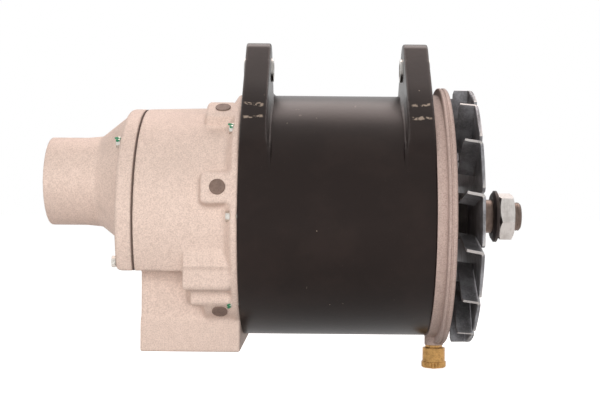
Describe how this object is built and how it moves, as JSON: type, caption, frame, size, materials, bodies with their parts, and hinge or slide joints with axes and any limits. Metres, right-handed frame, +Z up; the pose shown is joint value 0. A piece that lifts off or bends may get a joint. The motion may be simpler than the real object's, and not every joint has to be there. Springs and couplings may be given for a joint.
{
  "type": "vehicle alternator",
  "caption": "Heavy-duty vehicle alternator with two pivot lugs, ducted slip-ring housing, open drive-end fan and a threaded shaft end for a pulley",
  "frame": {"origin": "on the hinge pivot axis, midway between the two lugs", "axes": "+X along the pivot and the shaft towards the drive end, +Z up from the shaft to the pivot, +Y to the side with the output studs"},
  "size_m": [0.401, 0.218, 0.278],
  "materials": {
    "yoke_paint": "semi-gloss black paint, scuffed",
    "cast_aluminium": "sand-cast, blasted",
    "fan_plate": "zinc-plated pressed sheet",
    "zinc_screw": "bright zinc",
    "nut_zinc": "dull zinc",
    "washer_black": "black oxide",
    "shaft_steel": "ground steel",
    "bush_steel": "turned steel",
    "bearing_steel": "ground",
    "cage_steel": "pressed",
    "brass": "turned",
    "lamination": "stacked sheet",
    "copper_winding": "enamelled copper",
    "ring_copper": "turned copper",
    "moulding": "moulded",
    "carbon": "pressed carbon",
    "spring_steel": "drawn wire",
    "sink_aluminium": "extruded",
    "gasket_fibre": "fibre",
    "vent_gauze": "woven wire"
  },
  "bodies": {
    "housing": {"yoke": "yoke_paint", "rear_lug_bush": "bush_steel", "front_lug_bush": "bush_steel", "stator_core": "lamination", "stator_winding": "copper_winding", "drive_end_bracket": "cast_aluminium", "bracket_screws": "zinc_screw", "bearing_retainer": "sink_aluminium", "retainer_screws": "zinc_screw", "front_bearing_outer_race": "bearing_steel", "rear_bearing_outer_race": "bearing_steel", "rear_housing": "cast_aluminium", "housing_screws": "zinc_screw", "vent_gauze": "vent_gauze", "end_cover": "cast_aluminium", "cover_gasket": "gasket_fibre", "cover_screws": "zinc_screw", "brush_holder": "moulding", "front_brush_spring": "spring_steel", "rear_brush_spring": "spring_steel", "positive_heat_sink": "sink_aluminium", "negative_heat_sink": "sink_aluminium", "positive_diodes": "ring_copper", "negative_diodes": "ring_copper", "rectifier_posts": "zinc_screw", "post_sleeves": "moulding", "regulator": "moulding", "terminal_board": "moulding", "terminal_studs": "brass", "terminal_nuts": "brass", "grease_cup_body": "brass"},
    "rotor": {"rotor_shaft": "shaft_steel", "shaft_key": "bush_steel", "spacer_collar": "bush_steel", "rear_claw_pole": "lamination", "front_claw_pole": "lamination", "field_coil": "copper_winding", "slip_ring_hub": "moulding", "slip_rings": "ring_copper", "fan": "fan_plate", "pulley_washer": "washer_black", "shaft_nut": "nut_zinc", "front_bearing_inner_race": "bearing_steel", "rear_bearing_inner_race": "bearing_steel"},
    "front_cage": {"front_bearing_balls": "bearing_steel", "front_bearing_cage": "cage_steel"},
    "rear_cage": {"rear_bearing_balls": "bearing_steel", "rear_bearing_cage": "cage_steel"},
    "front_brush": {"front_brush": "carbon"},
    "rear_brush": {"rear_brush": "carbon"},
    "grease_plunger": {"grease_cup_plunger": "brass"},
    "grease_cap": {"grease_cup_cap": "brass"}
  },
  "joints": [
    {"name": "rotor_spin", "type": "hinge", "parent": "housing", "child": "rotor", "pos_m": [0, 0, -0.124], "axis": [1, 0, 0], "continuous": true},
    {"name": "front_cage_spin", "type": "hinge", "parent": "housing", "child": "front_cage", "pos_m": [0.0826, 0, -0.124], "axis": [1, 0, 0], "continuous": true},
    {"name": "rear_cage_spin", "type": "hinge", "parent": "housing", "child": "rear_cage", "pos_m": [-0.0896, 0, -0.124], "axis": [1, 0, 0], "continuous": true},
    {"name": "front_brush_slide", "type": "slide", "parent": "housing", "child": "front_brush", "axis": [0, 0, 1], "range_m": [0, 0.004], "stiffness_N_per_m": 300, "springref_m": -0.005, "deforming": ["front_brush_spring"]},
    {"name": "rear_brush_slide", "type": "slide", "parent": "housing", "child": "rear_brush", "axis": [0, 0, 1], "range_m": [0, 0.004], "stiffness_N_per_m": 300, "springref_m": -0.005, "deforming": ["rear_brush_spring"]},
    {"name": "grease_plunger_slide", "type": "slide", "parent": "housing", "child": "grease_plunger", "axis": [0, 0, -1], "range_m": [0, 0.006]},
    {"name": "grease_cap_turn", "type": "hinge", "parent": "grease_plunger", "child": "grease_cap", "pos_m": [0.0853, 0, -0.244], "axis": [0, 0, -1], "range_deg": [0, 1440]}
  ],
  "couplings": [
    {"joint": "front_cage_spin", "follows": "rotor_spin", "ratio": 0.3847},
    {"joint": "rear_cage_spin", "follows": "rotor_spin", "ratio": 0.3809},
    {"joint": "grease_cap_turn", "follows": "grease_plunger_slide", "rad_per_m": 4188.8}
  ]
}
